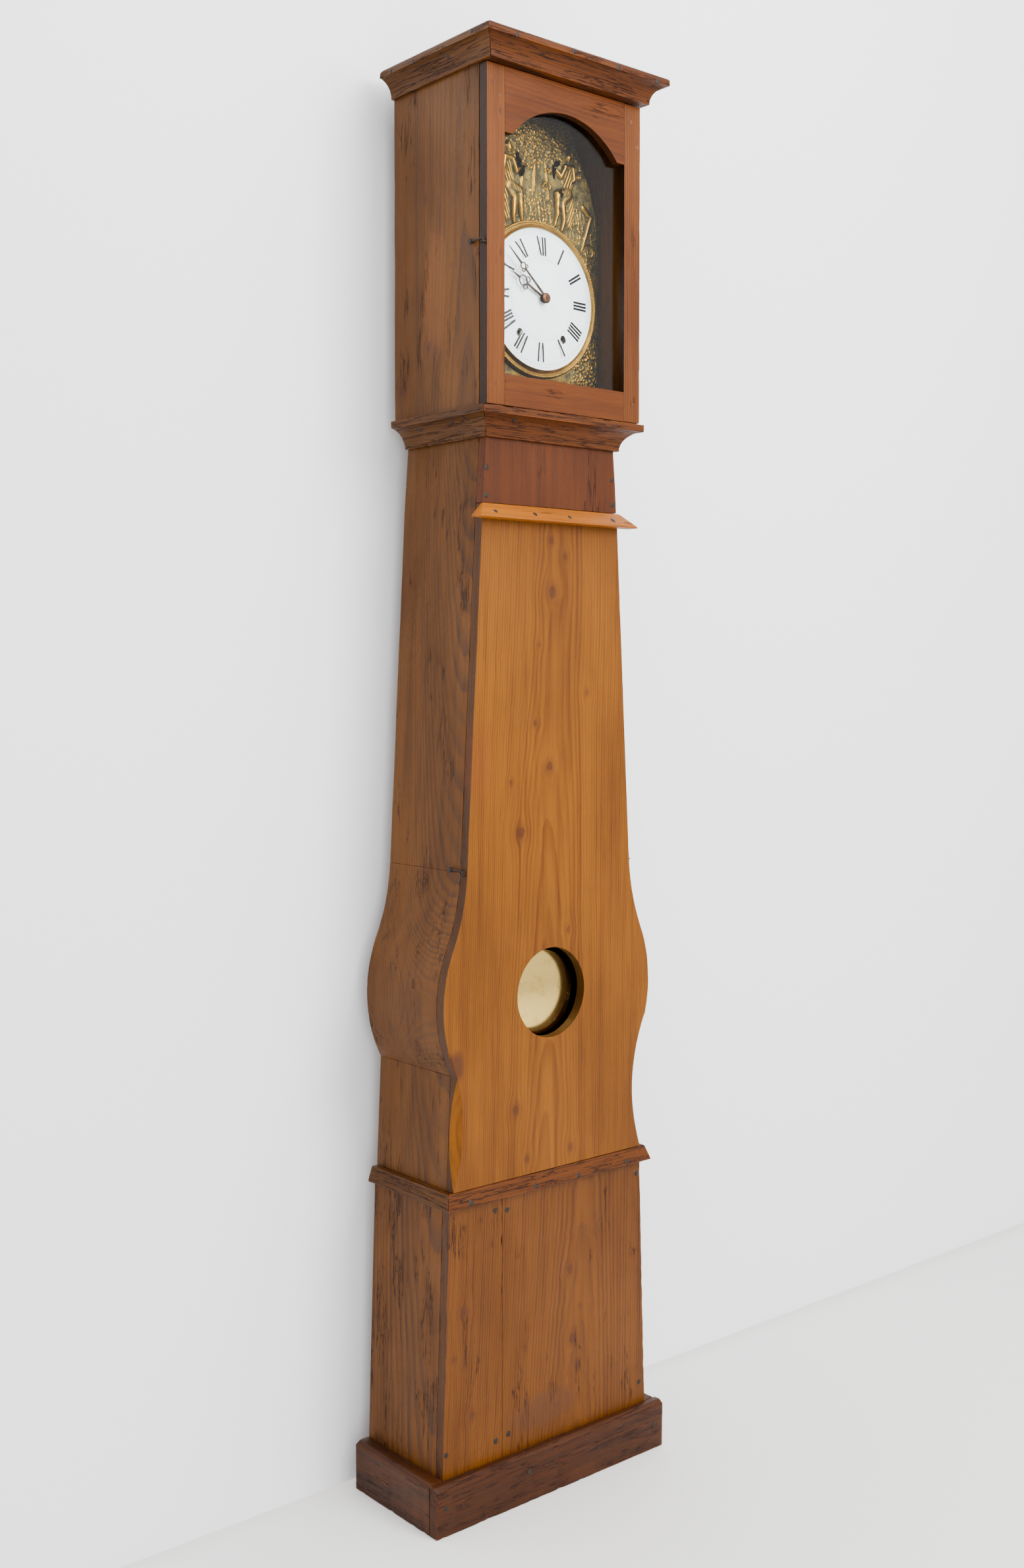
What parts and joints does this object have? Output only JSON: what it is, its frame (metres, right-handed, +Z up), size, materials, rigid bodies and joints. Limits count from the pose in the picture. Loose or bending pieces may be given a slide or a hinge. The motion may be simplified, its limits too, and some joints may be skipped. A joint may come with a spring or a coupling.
{
  "type": "grandfather clock",
  "caption": "Longcase clock with a violin-shaped pine trunk, arched glazed hood door, enamel dial in a pressed brass front, and a brass pendulum seen through a round window.",
  "frame": {"origin": "on the floor, at the middle of the overall footprint", "axes": "+Z up, -Y out of the dial towards the viewer, +X to the viewer's right, +Y to the wall"},
  "size_m": [0.511, 0.277, 2.35],
  "materials": {
    "pine_front": "waxed, satin",
    "pine_strip": "waxed, satin",
    "pine_hood_door": "waxed, satin",
    "pine_side": "waxed, dull",
    "pine_moulding": "waxed, worn",
    "pine_base": "waxed, worn",
    "plinth_wood": "dark, worn",
    "raw_wood": "unfinished, aged",
    "window_glass": "clear",
    "hook_iron": "dark forged",
    "repousse_brass": "pressed, tarnished",
    "bezel_brass": "polished, worn",
    "white_enamel": "glossy vitreous",
    "hand_steel": "bronzed",
    "movement_iron": "dark, oiled",
    "wheel_brass": "satin",
    "bell_metal": "cast, dull",
    "bob_brass": "polished",
    "weight_iron": "rough cast"
  },
  "bodies": {
    "case": {"base_front_narrow_board": "pine_base", "base_front_wide_board": "pine_base", "base_moulding_front": "pine_moulding", "base_moulding_left": "pine_moulding", "base_moulding_right": "pine_moulding", "base_side_left": "pine_side", "base_side_right": "pine_side", "bell": "bell_metal", "belly_side_left": "pine_side", "belly_side_right": "pine_side", "bezel": "bezel_brass", "brass_front": "repousse_brass", "case_back_board": "raw_wood", "cornice_front": "pine_moulding", "cornice_left": "pine_moulding", "cornice_right": "pine_moulding", "enamel_dial": "white_enamel", "hood_back_board": "raw_wood", "hood_hinge_plates": "hook_iron", "hood_moulding_front": "pine_moulding", "hood_moulding_left": "pine_moulding", "hood_moulding_right": "pine_moulding", "hood_side_left": "pine_side", "hood_side_right": "pine_side", "hood_top_board": "raw_wood", "hook_pivot_screws": "hook_iron", "lower_side_left": "pine_side", "lower_side_right": "pine_side", "movement_frame": "movement_iron", "neck_panel": "pine_front", "plinth_front": "plinth_wood", "plinth_left": "plinth_wood", "plinth_right": "plinth_wood", "seat_board": "raw_wood", "trunk_side_left": "pine_side", "trunk_side_right": "pine_side"},
    "hood_door": {"hood_door_stile_left": "pine_hood_door", "hood_door_stile_right": "pine_hood_door", "hood_door_arched_rail": "pine_hood_door", "hood_door_bottom_rail": "pine_hood_door", "hood_door_glass": "window_glass", "hood_door_hinge_leaves": "hook_iron", "hood_door_staple": "hook_iron"},
    "trunk_front": {"trunk_front_board": "pine_front", "trunk_front_strip": "pine_strip", "trunk_front_staples": "hook_iron"},
    "hood_hook": {"hood_hook": "hook_iron"},
    "trunk_hook_left": {"trunk_hook_left": "hook_iron"},
    "trunk_hook_right": {"trunk_hook_right": "hook_iron"},
    "pendulum": {"pendulum_rod": "movement_iron", "pendulum_bob": "bob_brass"},
    "anchor": {"anchor_and_crutch": "movement_iron"},
    "escape_wheel": {"escape_wheel": "wheel_brass"},
    "minute_hand": {"minute_hand": "hand_steel"},
    "hour_hand": {"hour_hand": "hand_steel"},
    "going_barrel": {"going_barrel": "wheel_brass"},
    "strike_barrel": {"strike_barrel": "wheel_brass"},
    "going_weight": {"going_weight": "weight_iron"},
    "strike_weight": {"strike_weight": "weight_iron"},
    "strike_hammer": {"strike_hammer": "movement_iron"}
  },
  "joints": [
    {"name": "hood_door_swing", "type": "hinge", "parent": "case", "child": "hood_door", "pos_m": [0.172, -0.08025, 2.05], "axis": [0, 0, 1], "range_deg": [0, 110]},
    {"name": "trunk_front_tilt", "type": "hinge", "parent": "case", "child": "trunk_front", "pos_m": [0, -0.0655, 0.54], "axis": [1, 0, 0], "range_deg": [0, 20]},
    {"name": "hood_hook_lift", "type": "hinge", "parent": "case", "child": "hood_hook", "pos_m": [-0.172, -0.0645, 2.036], "axis": [-1, 0, 0], "range_deg": [0, 120]},
    {"name": "trunk_hook_left_lift", "type": "hinge", "parent": "case", "child": "trunk_hook_left", "pos_m": [-0.18434, -0.0275, 1.049], "axis": [-1, 0, 0], "range_deg": [0, 120]},
    {"name": "trunk_hook_right_lift", "type": "hinge", "parent": "case", "child": "trunk_hook_right", "pos_m": [0.18434, -0.0275, 1.049], "axis": [-1, 0, 0], "range_deg": [0, 120]},
    {"name": "pendulum_swing", "type": "hinge", "parent": "case", "child": "pendulum", "pos_m": [0, -0.0085, 2.056], "axis": [0, 1, 0], "range_deg": [-3, 3]},
    {"name": "anchor_rock", "type": "hinge", "parent": "case", "child": "anchor", "pos_m": [0, 0.0305, 2.056], "axis": [0, 1, 0], "range_deg": [-3, 3]},
    {"name": "escape_wheel_spin", "type": "hinge", "parent": "case", "child": "escape_wheel", "pos_m": [0, 0.0295, 2.022], "axis": [0, 1, 0], "continuous": true},
    {"name": "minute_hand_turn", "type": "hinge", "parent": "case", "child": "minute_hand", "pos_m": [0, -0.0495, 1.976], "axis": [0, 1, 0], "continuous": true},
    {"name": "hour_hand_turn", "type": "hinge", "parent": "case", "child": "hour_hand", "pos_m": [0, -0.0455, 1.976], "axis": [0, 1, 0], "continuous": true},
    {"name": "going_weight_travel", "type": "slide", "parent": "case", "child": "going_weight", "axis": [0, 0, 1], "range_m": [0, 1.2]},
    {"name": "strike_weight_travel", "type": "slide", "parent": "case", "child": "strike_weight", "axis": [0, 0, 1], "range_m": [0, 1.2]},
    {"name": "going_barrel_wind", "type": "hinge", "parent": "case", "child": "going_barrel", "pos_m": [-0.0475, 0.0635, 1.917], "axis": [0, 1, 0], "range_deg": [0, 3126]},
    {"name": "strike_barrel_wind", "type": "hinge", "parent": "case", "child": "strike_barrel", "pos_m": [0.0475, 0.0635, 1.917], "axis": [0, -1, 0], "range_deg": [0, 3126]},
    {"name": "strike_hammer_lift", "type": "hinge", "parent": "case", "child": "strike_hammer", "pos_m": [0.112, 0.0615, 2.043], "axis": [0, 1, 0], "range_deg": [0, 12]}
  ],
  "couplings": [
    {"joint": "anchor_rock", "follows": "pendulum_swing", "ratio": 1},
    {"joint": "hour_hand_turn", "follows": "minute_hand_turn", "ratio": 0.083333},
    {"joint": "going_barrel_wind", "follows": "going_weight_travel", "rad_per_m": 45.455},
    {"joint": "strike_barrel_wind", "follows": "strike_weight_travel", "rad_per_m": 45.455}
  ]
}
